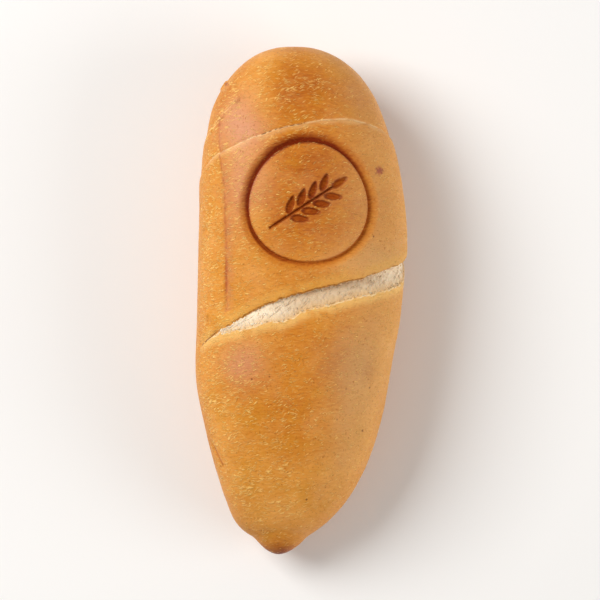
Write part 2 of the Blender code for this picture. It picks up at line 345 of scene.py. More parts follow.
@dataclass(frozen=True)
class Split:
    """The split: a rounded lip above, a steep wall under it and torn crumb that slopes out to the crust."""

    upper: Trace = Trace((
        (-75.0, -15.5), (-56.0, -11.4), (-39.0, -6.9), (-18.0, -0.9), (2.0, 2.6), (18.0, 4.9), (37.0, 7.2),
        (49.5, 9.1), (73.0, 12.1), (95.0, 14.8), (125.0, 18.0)
    ))
    lower: Trace = Trace((
        (-75.0, -15.5), (-56.0, -11.8), (-33.0, -9.2), (-19.5, -7.3), (-5.0, -6.0), (2.0, -3.7), (14.0, -1.9),
        (32.0, 0.7), (56.0, 3.3), (80.0, 6.1), (100.0, 9.6), (125.0, 18.0)
    ))
    depth: float = 1.8
    full_width: float = 5.0
    wall: float = 0.1
    rim: float = 0.08
    rim_depth: float = 0.16
    crumb_slope: float = 0.75
    lip_swell: float = 0.5
    lip_reach: float = 6.0
    lip_rounding: float = 0.25
    lip_rounding_reach: float = 0.9
    tip_depth: float = 0.6
    tip_width: float = 0.5
    rag: float = 0.4
    rags_over: Pair = (0.0, 2.5)
    torn_above: tuple[Ripple, ...] = (Ripple(0.9, 3.2, 21.0), Ripple(0.9, 1.1, 22.0))
    torn_below: tuple[Ripple, ...] = (Ripple(1.1, 3.6, 23.0), Ripple(1.0, 1.1, 24.0))
    pits: tuple[Ripple, ...] = (Ripple(0.25, 2.6, 31.0), Ripple(0.22, 1.3, 32.0), Ripple(0.18, 0.8, 33.0))
    least_pits: float = 0.2
    # Shares of the way across the split over which the pits grow below the wall and die away at the rim
    pits_below_wall: Pair = (0.0, 0.2)
    pits_above_rim: Pair = (1.0, 0.85)
    # Widths of the split over which the pits, the lip and the crack at its tip come in
    pits_come_in: Pair = (0.5, 3.0)
    lip_comes_in: Pair = (0.2, 2.0)
    tip_comes_in: Pair = (2.4, 0.6)
    fade: float = 6.0
    least_opening: float = 0.25
    opens_over: Pair = (-44.0, 6.0)
    # Angles over which the crumb turns darker and greyer, and then partly lighter again towards the right
    darkens_over: Pair = (-26.0, 10.0)
    lightens_again_over: Pair = (22.0, 66.0)
    lightens_share: float = 0.6

    def opening(self, degrees: Array) -> Array:
        """How deep the split gapes: least at the left, where the crust only just tore."""
        return self.least_opening + (1 - self.least_opening) * ease(*self.opens_over, degrees)

    def crumb_tone(self, degrees: Array) -> Array:
        """How much darker and greyer the crumb is: not at all at the left, most at the middle and half at the
        right.
        """
        return ease(*self.darkens_over, degrees) * (1 - self.lightens_share * ease(*self.lightens_again_over, degrees))

    def edges(self, surface: Surface) -> tuple[Array, Array]:
        """Stations of the two ragged edges.

        Args:
            surface: Points on the roll.

        Returns:
            The upper and the lower edge's y at each point's angle.
        """
        upper = self.upper.at(surface.degrees)
        lower = self.lower.at(surface.degrees)
        rag = self.rag * ease(*self.rags_over, upper - lower)
        along = surface.points * (1.0, 0.0, 1.0)
        return upper + rag * rippled(along, self.torn_above), lower + rag * rippled(along, self.torn_below)

    def relief(self, surface: Surface) -> Array:
        """Height of the lip, less the depth of the split and the pits of its crumb."""
        upper, lower = self.edges(surface)
        width = upper - lower
        below = upper - surface.y
        opening = self.opening(surface.degrees)
        depth = self.depth * np.clip(width / self.full_width, 0.0, 1.0) * opening
        across = below / np.maximum(width, 1e-3)
        slope = self.rim_depth + (1.0 - self.rim_depth) * np.clip(1.0 - across, 0.0, 1.0) ** self.crumb_slope
        cut = depth * ease(0.0, self.wall, across) * slope * ease(1.0, 1.0 - self.rim, across)
        inside = ease(*self.pits_below_wall, across) * ease(*self.pits_above_rim, across)
        inside *= ease(*self.pits_come_in, width) * (self.least_pits + (1 - self.least_pits) * opening)
        above = np.clip(-below, 0.0, None)
        lip = self.lip_swell * np.exp(-above / self.lip_reach) * opening
        lip -= self.lip_rounding * np.exp(-above / self.lip_rounding_reach)
        crack = self.tip_depth * bell(below + 0.1, self.tip_width) * ease(*self.tip_comes_in, width)
        crack *= self.upper.present(surface.degrees, self.fade)
        crumb = inside * surface.rippled(*self.pits) - cut
        return np.where(below < 0, ease(*self.lip_comes_in, width) * lip, crumb) - crack

    def trace(self, surface: Surface) -> tuple[Array, Array]:
        """Distances for the crumb's colours.

        Args:
            surface: Points on the roll.

        Returns:
            The distance below the upper edge and the distance above the lower one.
        """
        upper, lower = self.edges(surface)
        present = self.upper.present(surface.degrees, self.fade)
        return gone(upper - surface.y, present), gone(surface.y - lower, present)


@dataclass(frozen=True)
class WheatEar:
    """An ear of wheat pressed into the mark: a stem and paired grains, each a shallow oval dish."""

    length: float = 30.0
    stem_length: float = 8.0
    stem_radius: float = 0.7
    stem_fade: float = 5.0
    pairs: int = 4
    grain_length: float = 6.4
    grain_width: float = 2.5
    grain_lean: float = 38.0
    grain_offset: float = 2.6
    grain_spacing: float = 4.2
    grain_taper: float = 0.5
    grain_floor: float = 1.5

    def grains(self) -> list[tuple[float, float, float]]:
        """Middle along the ear, offset from the stem and lean of each grain."""
        first = self.stem_length - self.length / 2
        paired = [
            (first + (pair + 0.5) * self.grain_spacing, side * self.grain_offset, side * self.grain_lean)
            for pair in range(self.pairs) for side in (-1, 1)
        ]
        return paired + [(self.length / 2 - self.grain_length / 2, 0.0, 0.0)]

    def depth_share(self, along: Array, beside: Array) -> Array:
        """Share of the ear's full depth.

        Args:
            along: Distance along the ear from its middle.
            beside: Distance from its stem.

        Returns:
            1 at the floor of a grain or the stem and 0 outside them.
        """
        half = self.length / 2
        stem = ease(self.stem_radius, 0.0, np.abs(beside))
        deepest = stem * ease(-half, 1.0 - half, along) * ease(half, half - self.stem_fade, along)
        for middle, offset, lean in self.grains():
            turn = math.radians(lean)
            u = (along - middle) * math.cos(turn) + (beside - offset) * math.sin(turn)
            v = (beside - offset) * math.cos(turn) - (along - middle) * math.sin(turn)
            width = self.grain_width * (1 - self.grain_taper * u / self.grain_length)
            oval = (2 * u / self.grain_length) ** 2 + (2 * v / width) ** 2
            deepest = np.maximum(deepest, np.clip(self.grain_floor * (1 - oval), 0.0, 1.0))
        return deepest


@dataclass(frozen=True)
class PressedMark:
    """The round mark: a groove with a steep inner wall and a soft outer slope, and the ear inside it."""

    x: float = 2.3
    y: float = 30.15
    ring_radius: float = 19.2
    ring_wander: float = 0.4
    ring_lobes: int = 3
    ring_depth: float = 1.4
    ridge_height: float = 0.5
    ridge_beyond: float = 0.75
    ridge_width: float = 0.3
    ridge_side: float = 228.0
    ridge_reach: float = 36.0
    inner_wall: float = 0.8
    outer_slope: float = 2.8
    disc_sink: float = 0.25
    tilt: float = 33.0
    ear_depth: float = 1.0
    face_height: float = 25.0
    ring_shade_side: float = 135.0
    ring_shade_falloff: float = 1.5
    ear: WheatEar = WheatEar()

    def bearing(self, surface: Surface) -> Array:
        """Bearing of each point from the mark's middle, in radians."""
        return np.arctan2(surface.points[:, 1] - self.y, surface.points[:, 0] - self.x)

    def beyond(self, surface: Surface) -> Array:
        """Distance outside the ring's deepest line, which isn't quite round, far away on the underside."""
        x, y, z = surface.points.T
        wander = self.ring_wander * np.cos(self.ring_lobes * (self.bearing(surface) - math.pi / 2))
        outside = np.hypot(x - self.x, y - self.y) - self.ring_radius - wander
        return np.where(z > self.face_height, outside, NOWHERE)

    def ring_shade(self, surface: Surface) -> Array:
        """Painted shade on the ring: 1 at the upper left, whose walls face away from the light, and 0 opposite.
        """
        from_darkest = self.bearing(surface) - math.radians(self.ring_shade_side)
        return ((1 + np.cos(from_darkest)) / 2) ** self.ring_shade_falloff

    def ridge(self, surface: Surface) -> Array:
        """Height of the thin ridge that splits the groove in two at the lower left."""
        side = self.bearing(surface) - math.radians(self.ridge_side)
        turned = np.degrees(np.arctan2(np.sin(side), np.cos(side)))
        crest = bell(self.beyond(surface) - self.ridge_beyond, self.ridge_width)
        return self.ridge_height * crest * ease(self.ridge_reach, self.ridge_reach / 2, np.abs(turned))

    def ear_share(self, surface: Surface) -> Array:
        """Share of the ear's full depth at each point."""
        x, y, z = surface.points.T
        tilt = math.radians(self.tilt)
        along = (x - self.x) * math.cos(tilt) + (y - self.y) * math.sin(tilt)
        beside = (y - self.y) * math.cos(tilt) - (x - self.x) * math.sin(tilt)
        return np.where(z > self.face_height, self.ear.depth_share(along, beside), 0.0)

    def ear_browning_and_shade(self, surface: Surface) -> Array:
        """How far the ear darkens: its steep sides most, with painted shade, and its floor, which browned, half
        as much.
        """
        share = self.ear_share(surface)
        return 0.5 * share + 2.0 * share * (1 - share)

    def groove_share(self, surface: Surface) -> Array:
        """Share of the ring groove's full depth at each point."""
        beyond = self.beyond(surface)
        return np.where(beyond < 0, ease(-self.inner_wall, 0.0, beyond), ease(self.outer_slope, 0.0, beyond))

    def relief(self, surface: Surface) -> Array:
        """Depth of the ring, the sunk disc and the ear, less the ridge in the groove."""
        disc = self.disc_sink * ease(0.0, -self.inner_wall, self.beyond(surface))
        sunk = self.ring_depth * self.groove_share(surface) + disc + self.ear_depth * self.ear_share(surface)
        return self.ridge(surface) - sunk


@dataclass(frozen=True)
class KnobNeck:
    """The fold round the front of the knob's neck."""

    y: float = -74.4
    bend: float = 1.2
    depth: float = 0.3
    width: float = 0.7
    fades_over: Pair = (80.0, 30.0)

    def relief(self, surface: Surface) -> Array:
        """Depth of the fold."""
        from_fold = surface.y - self.y - self.bend * np.cos(np.radians(2 * surface.degrees))
        return -self.depth * bell(from_fold, self.width) * ease(*self.fades_over, np.abs(surface.degrees))


def linear(hex_colour: str) -> tuple[float, float, float, float]:
    """Turns an sRGB hex colour to the linear one that a shader takes.

    Args:
        hex_colour: Six hex digits.

    Returns:
        Linear red, green, blue and an alpha of 1.
    """
    shares = [int(hex_colour[i : i + 2], 16) / 255 for i in (0, 2, 4)]
    red, green, blue = (s / 12.92 if s <= 0.04045 else ((s + 0.055) / 1.055) ** 2.4 for s in shares)
    return red, green, blue, 1.0


def feed(tree: Tree, node: bpy.types.Node, inputs: Inputs) -> None:
    """Links or sets inputs of a node.

    Args:
        tree: The material's node tree.
        node: The node to feed.
        inputs: For each input, by name or number, the socket that feeds it or its fixed value.
    """
    for name, value in inputs.items():
        if isinstance(value, bpy.types.NodeSocket):
            tree.links.new(value, node.inputs[name])
        else:
            node.inputs[name].default_value = value


def add(tree: Tree, kind: str, inputs: Inputs, output: int | str = 0, **settings: Any) -> Socket:
    """Adds a node to a material.

    Args:
        tree: The material's node tree.
        kind: The node's type, less the ShaderNode that its name starts with.
        inputs: What its inputs take, as in feed.
        output: Name or number of the output wanted.
        settings: Values of the node's own properties.

    Returns:
        The new node's output.
    """
    node = tree.nodes.new("ShaderNode" + kind)
    for name, value in settings.items():
        setattr(node, name, value)
    feed(tree, node, inputs)
    return node.outputs[output]


def new_material(name: str) -> tuple[bpy.types.Material, Tree, Socket]:
    """Starts a material.

    Args:
        name: Its name.

    Returns:
        The material, its node tree and each point's place on the piece in metres.
    """
    material = bpy.data.materials.new(name)
    material.use_nodes = True
    return material, material.node_tree, add(material.node_tree, "TexCoord", {}, "Object")


class Grade(Enum):
    """Stops of the crust's browning, from barely baked to scorched: (amount, sRGB colour)."""

    STRAW = (0.0, "F7BC6C")
    HONEY = (0.2, "E9A14A")
    GOLD = (0.35, "DB913A")
    AMBER = (0.5, "CC7D26")
    CHESTNUT = (0.65, "B9671C")
    UMBER = (0.8, "9A460A")
    SCORCHED = (1.0, "742200")


@dataclass(frozen=True)
class Ramp:
    """A climb from bottom to top as a value goes from start to full, level on either side."""

    start: float
    full: float
    top: float = 1.0
    bottom: float = 0.0

    def reading(self, value: Socket) -> Inputs:
        """Inputs of a Map Range node that climbs like this along value."""
        limits = {"From Min": self.start, "From Max": self.full, "To Min": self.bottom, "To Max": self.top}
        return {"Value": value} | limits


@dataclass(frozen=True)
class Streaks:
    """Pale stretch marks with painted glints: degrees turned, and spacing along and beside them in millimetres.
    """

    turn: float
    along: float
    beside: float


@dataclass(frozen=True)
class LineMark:
    """A line of colour along one of the skin's traces, broken into patches as a torn or creased edge is."""

    trace: str
    middle: float
    half_width: float
    tint: str
    strength: float
    patch: float
    broken: float

    def profile(self) -> Ramp:
        """How the colour grows from the line's side to its middle."""
        return Ramp(self.half_width, 0.0, self.strength)

    def patches(self) -> Ramp:
        """Where a noise is high enough for the line to show: in fewer places the more it is broken."""
        threshold = 0.3 + 0.4 * self.broken
        return Ramp(threshold - 0.08, threshold + 0.1)


@dataclass(frozen=True)
class Stain:
    """A small dark spot on the upper side, in millimetres."""

    x: float
    y: float
    radius: float
    strength: float
    tint: str = "6A2C10"

    def edge(self) -> Ramp:
        """How it darkens inwards, with one radius allowed for the noise that makes its edge ragged."""
        return Ramp(2.3 * self.radius, 1.2 * self.radius, self.strength)


@dataclass(frozen=True)
class TornCrumb:
    """Torn wheat crumb: never browned, so it is matt, off-white and fibrous, and lets light in a little."""

    name: str = "torn_crumb"
    white: str = "FCE8CA"
    # The crumb's darker, greyer tone in the middle and at the right of the split
    darker_tone: str = "D9BD9A"
    shade: str = "CDA97E"
    roughness: float = 0.85
    # The fibres are about half a millimetre apart and lean to the right as they cross the split.
    fibre: Triple = (1.9, 0.55, 0.9)
    lean: float = -24.0
    cloudiness: float = 0.7
    shading: Ramp = Ramp(0.76, 1.1, 0.45)
    grain_depth: float = 0.15

    def colour(self, tree: Tree, place: Socket, crumb_tone: Socket) -> Socket:
        """Fibrous off-white.

        Args:
            tree: The material's node tree.
            place: Position in millimetres.
            crumb_tone: How far the crumb turns darker and greyer, from 0 to 1.

        Returns:
            The crumb's colour.
        """
        turn = math.radians(self.lean)
        leaning = add(tree, "VectorRotate", {"Vector": place, "Angle": turn}, rotation_type="Z_AXIS")
        stretched = add(tree, "VectorMath", {0: leaning, 1: self.fibre}, operation="MULTIPLY")
        fibres = add(tree, "TexNoise", {"Vector": stretched, "Scale": 1.0, "Detail": 4.0, "Roughness": 0.6})
        cloudy = add(tree, "TexNoise", {"Vector": place, "Scale": 0.32, "Detail": 2.0})
        both = add(tree, "Math", {0: cloudy, 1: self.cloudiness, 2: fibres}, operation="MULTIPLY_ADD")
        shaded = add(tree, "MapRange", self.shading.reading(both))
        colour = linear(self.white)
        for mask, tint in ((crumb_tone, self.darker_tone), (shaded, self.shade)):
            colour = add(
                tree, "Mix", {FACTOR: mask, UNDER: colour, OVER: linear(tint)}, BLENDED, data_type="RGBA"
            )
        return colour

    def material(self) -> bpy.types.Material:
        """Builds the crumb's material for the loose strands and crumbs.

        Returns:
            The finished material.
        """
        material, tree, place = new_material(self.name)
        mm = add(tree, "VectorMath", {0: place, "Scale": 1 / MM}, operation="SCALE")
        crumb_tone = add(tree, "Attribute", {}, "Fac", attribute_name="crumb_tone")
        rough = add(tree, "TexNoise", {"Vector": mm, "Scale": 2.0, "Detail": 3.0})
        bump = add(tree, "Bump", {"Height": rough, "Distance": self.grain_depth * MM, "Strength": 1.0})
        looks = {
            "Base Color": self.colour(tree, mm, crumb_tone),
            "Normal": bump,
            "Roughness": self.roughness,
            "Subsurface Weight": 0.4,
            "Subsurface Radius": (1.0, 0.7, 0.45),
            "Subsurface Scale": 1.2 * MM,
        }
        feed(tree, tree.nodes["Principled BSDF"], looks)
        return material


@dataclass(frozen=True)
class BakedCrust:
    """Thin wheat crust, golden where the oven browned it least, with white torn crumb where it split.

    Real crust browns unevenly as its sugars caramelise, most along the crest and in the pressed ring, and its
    skin breaks into short pale stretch marks that run round the roll. So the eye sees amber under a net of
    light flecks, with a satin sheen. Some colour is painted light: glints on the flecks, pink sheen on the
    left, haze reflected on the right, and shade in the ring, the ear, on the disc and in the split's crumb.
    """

    name: str = "baked_crust"
    # Pale flecks: stretch marks in the skin, with painted glints of their raised edges
    fleck_glint: str = "FFCC74"
    # Pink bloom, partly the crust's own tint and partly painted sheen where the key light catches the left side
    bloom_and_sheen: str = "D8987A"
    flush: str = "D8965A"
    # Tan on the right: partly paler crust and partly painted haze of white light reflected at a grazing angle
    tan: str = "CCA26E"
    gilt: str = "C8820E"
    pore: str = "9A5410"
    dark_crack: str = "7A3804"
    crumb_speck: str = "86602E"
    # Warm tint near the split's lower edge, partly rim colour and partly painted shade
    crumb_rim: str = "DEB074"
    roughness: float = 0.42
    sheen_spread: Pair = (-0.1, 0.12)
    # Everything on the crust drifts by about a millimetre, so that no pattern runs in straight rows.
    drift: float = 2.4
    # Clouds 25 mm and 7 mm wide, and a grain of half a millimetre round the roll: spacing, detail, strength
    clouds: tuple[tuple[Triple, float, float], ...] = (
        ((25.0, 25.0, 25.0), 2.0, 0.2), ((8.0, 5.0, 8.0), 3.0, 0.2), ((2.0, 0.5, 2.0), 2.0, 0.37)
    )
    # The ring's dark line, the soft slope outside it, and where that slope is cut off at the disc; their
    # darkening is browning all round with painted shade added towards the upper left
    ring_line: Ramp = Ramp(1.3, 0.2, 0.38)
    ring_slope: Ramp = Ramp(3.6, 0.4, 0.37)
    past_disc: Ramp = Ramp(-1.6, -0.2)
    # Share of the line's and the slope's darkening that is left opposite the painted shade at the upper left
    least_line: float = 0.45
    least_slope: float = 0.15
    # How much the ear darkens: browning on its floor and painted shade on its steep sides
    ear_browning_and_shade: float = 0.32
    pinker: Ramp = Ramp(0.52, 0.7, 0.22)
    yellower: Ramp = Ramp(0.48, 0.3, 0.32)
    patchiness: float = 1.1
    fleck_reach: Ramp = Ramp(0.5, 1.4, 0.5, 0.25)
    fleck_bend: float = 0.6
    fleck_edge: Ramp = Ramp(0.0, 0.16)
    fleck_strength: float = 0.95
    pores: Ramp = Ramp(0.6, 0.72, 0.55)
    # Rows of dashes about a millimetre long: trace, where along it, half the width and how sparse
    dashes: tuple[tuple[str, str, float, float], ...] = (
        ("seam_upper", "cracks", 0.26, 0.47), ("rip_below", "tip", 0.36, 0.36)
    )
    crumb_starts: float = 0.38
    crumb_rag: float = 0.8
    crumb_edge: Ramp = Ramp(0.4, 0.62)
    # Where the crumb takes the warm tint near the lower edge, partly painted shade
    crumb_rim_shading: Ramp = Ramp(2.8, 0.2, 0.7)
    speck_margin: Ramp = Ramp(1.0, 0.2, 0.7)
    specks: Ramp = Ramp(0.52, 0.6)
    # Heights of the fine bump in millimetres
    wrinkle_height: float = 0.19
    fleck_height: float = 0.2
    pit_height: float = 0.2
    crumb: TornCrumb = TornCrumb()
    # Layers of the pale flecks, stretch marks with painted glints
    streaks: tuple[Streaks, ...] = (
        Streaks(15.0, 3.5, 0.58), Streaks(-6.0, 2.6, 0.48), Streaks(30.0, 3.0, 0.54)
    )
    lines: tuple[LineMark, ...] = (
        LineMark("seam_upper", 0.15, 0.5, "FADFA8", 0.55, 3.0, 0.3),
        LineMark("seam_upper", 0.9, 1.7, "F6CE92", 0.26, 6.0, 0.3),
        LineMark("seam_shoulder", 0.1, 0.9, "FFE092", 0.75, 3.0, 0.28),
        LineMark("seam_shoulder", 1.9, 0.7, "FFDC90", 0.6, 3.0, 0.5),
        LineMark("seam_shoulder", 1.0, 0.55, "A85418", 0.6, 1.4, 0.5),
        LineMark("crease", 0.0, 0.7, "9C4420", 0.5, 0.9, 0.6),
        LineMark("crease", 0.3, 1.3, "B05C34", 0.55, 2.4, 0.5),
        LineMark("fold", 0.2, 1.5, "B25A18", 0.7, 3.0, 0.1),
        LineMark("crease", 1.4, 2.8, "C47C58", 0.4, 4.0, 0.2),
        LineMark("rip_above", -0.8, 3.2, "F3C070", 0.72, 7.0, 0.05),
        LineMark("rip_above", -0.1, 0.45, "FBE2B4", 0.7, 1.6, 0.35),
        LineMark("rip_below", -1.4, 3.2, "E4AC54", 0.45, 7.0, 0.15),
        LineMark("rip_below", 0.1, 0.5, "9E5C1C", 0.7, 1.4, 0.35)
    )
    stains: tuple[Stain, ...] = (
        Stain(24.4, 40.3, 1.5, 0.8, "96443A"), Stain(22.5, 19.8, 0.32, 0.8), Stain(-15.5, -24.6, 0.36, 0.75),
        Stain(-9.9, -23.9, 0.34, 0.7), Stain(1.6, -62.7, 0.42, 0.8), Stain(19.2, -41.0, 0.4, 0.75),
        Stain(-23.6, 68.0, 0.8, 0.7, "96401E"), Stain(13.9, -27.7, 0.4, 0.6), Stain(21.3, -27.4, 0.33, 0.65),
        Stain(8.0, -28.3, 0.33, 0.65), Stain(11.1, -37.3, 0.35, 0.55)
    )

    def material(self) -> bpy.types.Material:
        """Builds the crust's material from the skin's own traces.

        Returns:
            The finished material.
        """
        material, tree, place = new_material(self.name)
        traces = {name: add(tree, "Attribute", {}, "Fac", attribute_name=name) for name in TRACES}
        mm = add(tree, "VectorMath", {0: place, "Scale": 1 / MM}, operation="SCALE")
        drift = add(tree, "TexNoise", {"Vector": mm, "Scale": 0.22, "Detail": 2.0}, "Color")
        drifted = add(tree, "VectorMath", {0: drift, 1: (self.drift,) * 3, 2: mm}, operation="MULTIPLY_ADD")

        colour = self._browning(tree, drifted, traces)
        colour, flecks_and_glints = self._flecks_and_glints(tree, drifted, colour, traces)
        colour = self._lines(tree, drifted, colour, traces)
        colour = self._spots(tree, mm, colour, traces)
        colour, crumb = self._torn(tree, mm, colour, traces)

        rough = add(tree, "TexNoise", {"Vector": drifted, "Scale": 0.5, "Detail": 4.0})
        shiniest, dullest = (self.roughness + change for change in self.sheen_spread)
        satin = add(tree, "MapRange", {"Value": rough, "To Min": shiniest, "To Max": dullest})
        # The pressed ring and ear baked dry, so they are matt.
        matt = add(tree, "Math", {0: traces["pressed"], 1: crumb}, operation="MAXIMUM")
        roughness = add(tree, "Mix", {0: matt, 2: satin, 3: self.crumb.roughness}, data_type="FLOAT")

        # Wrinkled skin between the pale flecks, with wrinkles about half a millimetre apart.
        squeezed = add(tree, "VectorMath", {0: drifted, 1: (0.7, 1.9, 0.7)}, operation="MULTIPLY")
        wrinkle = add(tree, "TexNoise", {"Vector": squeezed, "Scale": 1.0, "Detail": 4.0, "Roughness": 0.6})
        raised = add(tree, "Math", {0: flecks_and_glints, 1: self.fleck_height}, operation="MULTIPLY")
        skin = add(tree, "Math", {0: wrinkle, 1: self.wrinkle_height, 2: raised}, operation="MULTIPLY_ADD")
        torn = add(tree, "TexNoise", {"Vector": mm, "Scale": 1.3, "Detail": 5.0, "Roughness": 0.6})
        pits = add(tree, "Math", {0: torn, 1: self.pit_height}, operation="MULTIPLY")
        height = add(tree, "Mix", {0: crumb, 2: skin, 3: pits}, data_type="FLOAT")
        looks = {
            "Base Color": colour,
            "Roughness": roughness,
            "Normal": add(tree, "Bump", {"Height": height, "Distance": MM, "Strength": 1.0}),
            "IOR": 1.3,
            "Specular IOR Level": 0.25,
            "Subsurface Weight": 0.07,
            "Subsurface Radius": (1.0, 0.45, 0.2),
            "Subsurface Scale": 1.8 * MM,
        }
        feed(tree, tree.nodes["Principled BSDF"], looks)
        return material

    def _browning(self, tree: Tree, place: Socket, traces: Traces) -> Socket:
        """Uneven browning over the whole crust, deepest in the pressed ring and ear, with painted shade and
        sheen.

        Args:
            tree: The material's node tree.
            place: Drifted position in millimetres.
            traces: The skin's traces by name.

        Returns:
            The crust's colour.
        """
        # Browning, with painted shade on the disc's top and painted light on its left edge
        amount = traces["bake_and_shade"]
        for spacing, detail, strength in self.clouds:
            scale = tuple(1 / s for s in spacing)
            spread = add(tree, "VectorMath", {0: place, 1: scale}, operation="MULTIPLY")
            cloud = add(tree, "TexNoise", {"Vector": spread, "Scale": 1.0, "Detail": detail})
            centred = add(tree, "Math", {0: cloud, 1: 0.5}, operation="SUBTRACT")
            amount = add(tree, "Math", {0: centred, 1: strength, 2: amount}, operation="MULTIPLY_ADD")
        ring = traces["ring"]
        off_line = add(tree, "Math", {0: ring}, operation="ABSOLUTE")
        readings = (
            self.ring_line.reading(off_line), self.ring_slope.reading(ring), self.past_disc.reading(ring)
        )
        line, outer, past_disc = (add(tree, "MapRange", r, interpolation_type="SMOOTHSTEP") for r in readings)
        slope = add(tree, "Math", {0: outer, 1: past_disc}, operation="MULTIPLY")
        # Painted shade: the line and the slope darken most at the upper left, where the groove's walls face
        # away from the light.
        for mark, least in ((line, self.least_line), (slope, self.least_slope)):
            strength = add(
                tree, "Math", {0: traces["ring_shade"], 1: 1 - least, 2: least}, operation="MULTIPLY_ADD"
            )
            amount = add(tree, "Math", {0: mark, 1: strength, 2: amount}, operation="MULTIPLY_ADD")
        # The ear: browning on its floor and painted shade on its steep sides.
        amount = add(
            tree, "Math", {0: traces["ear"], 1: self.ear_browning_and_shade, 2: amount}, operation="MULTIPLY_ADD"
        )
        browned = add(tree, "ValToRGB", {"Fac": amount})
        stops = browned.node.color_ramp.elements
        stops[1].position = Grade.SCORCHED.value[0]
        stops[0].color, stops[1].color = linear(Grade.STRAW.value[1]), linear(Grade.SCORCHED.value[1])
        for grade in list(Grade)[1:-1]:
            stops.new(grade.value[0]).color = linear(grade.value[1])
        plain = browned
        # The crust's hue wanders between pink and yellow in patches 6 to 10 mm wide.
        hue = add(tree, "TexNoise", {"Vector": place, "Scale": 0.13, "Detail": 2.5})
        pinker, yellower = (add(tree, "MapRange", ramp.reading(hue)) for ramp in (self.pinker, self.yellower))
        # The pink bloom is partly painted sheen on the left, and the tan partly painted haze reflected on the
        # right.
        tints = (
            (yellower, self.gilt), (pinker, self.flush), (traces["bloom_and_sheen"], self.bloom_and_sheen),
            (traces["tan"], self.tan)
        )
        for mask, tint in tints:
            browned = add(
                tree, "Mix", {FACTOR: mask, UNDER: browned, OVER: linear(tint)}, BLENDED, data_type="RGBA"
            )
        pressed = {FACTOR: traces["pressed"], UNDER: browned, OVER: plain}
        return add(tree, "Mix", pressed, BLENDED, data_type="RGBA")

    def _flecks_and_glints(self, tree: Tree, place: Socket, colour: Socket, traces: Traces) -> tuple[Socket, Socket]:
        """Pale stretch marks with painted glints, crowded in patches, and dark pores.

        Args:
            tree: The material's node tree.
            place: Drifted position in millimetres.
            colour: The colour so far.
            traces: The skin's traces by name.

        Returns:
            The colour with the flecks and the flecks' own mask.
        """
        patchy = add(tree, "TexNoise", {"Vector": place, "Scale": 0.15, "Detail": 3.0})
        crowd = add(
            tree, "Math", {0: patchy, 1: self.patchiness, 2: traces["flecked"]}, operation="MULTIPLY_ADD"
        )
        reach = add(tree, "MapRange", self.fleck_reach.reading(crowd))
        wobble = add(tree, "TexNoise", {"Vector": place, "Scale": 1.2, "Detail": 1.0}, "Color")
        bent = add(
            tree, "VectorMath", {0: wobble, 1: (self.fleck_bend,) * 3, 2: place}, operation="MULTIPLY_ADD"
        )
        flecks_and_glints = None
        for layer in self.streaks:
            turn = math.radians(-layer.turn)
            turned = add(tree, "VectorRotate", {"Vector": bent, "Angle": turn}, rotation_type="Z_AXIS")
            spacing = (1 / layer.along, 1 / layer.beside, 1 / layer.along)
            spread = add(tree, "VectorMath", {0: turned, 1: spacing}, operation="MULTIPLY")
            cell = add(tree, "TexVoronoi", {"Vector": spread, "Scale": 1.0})
            over = add(tree, "Math", {0: reach, 1: cell}, operation="SUBTRACT")
            shape = add(tree, "MapRange", self.fleck_edge.reading(over), interpolation_type="SMOOTHSTEP")
            fleck_glint = add(tree, "Math", {0: shape, 1: cell.node.outputs["Color"]}, operation="MULTIPLY")
            flecks_and_glints = add(tree, "Math", {0: flecks_and_glints, 1: fleck_glint}, operation="MAXIMUM") if flecks_and_glints else fleck_glint
        unpressed = add(tree, "Math", {0: 1.0, 1: traces["pressed"]}, operation="SUBTRACT")
        flecks_and_glints = add(tree, "Math", {0: flecks_and_glints, 1: unpressed}, operation="MULTIPLY")
        pale = add(tree, "Math", {0: flecks_and_glints, 1: self.fleck_strength}, operation="MULTIPLY")
        pitted = add(tree, "TexNoise", {"Vector": place, "Scale": 1.5, "Detail": 2.0})
        pores = add(tree, "MapRange", self.pores.reading(pitted))
        # The pale flecks are partly stretch marks and partly painted glints.
        for mask, tint in ((pores, self.pore), (pale, self.fleck_glint)):
            colour = add(
                tree, "Mix", {FACTOR: mask, UNDER: colour, OVER: linear(tint)}, BLENDED, data_type="RGBA"
            )
        return colour, flecks_and_glints

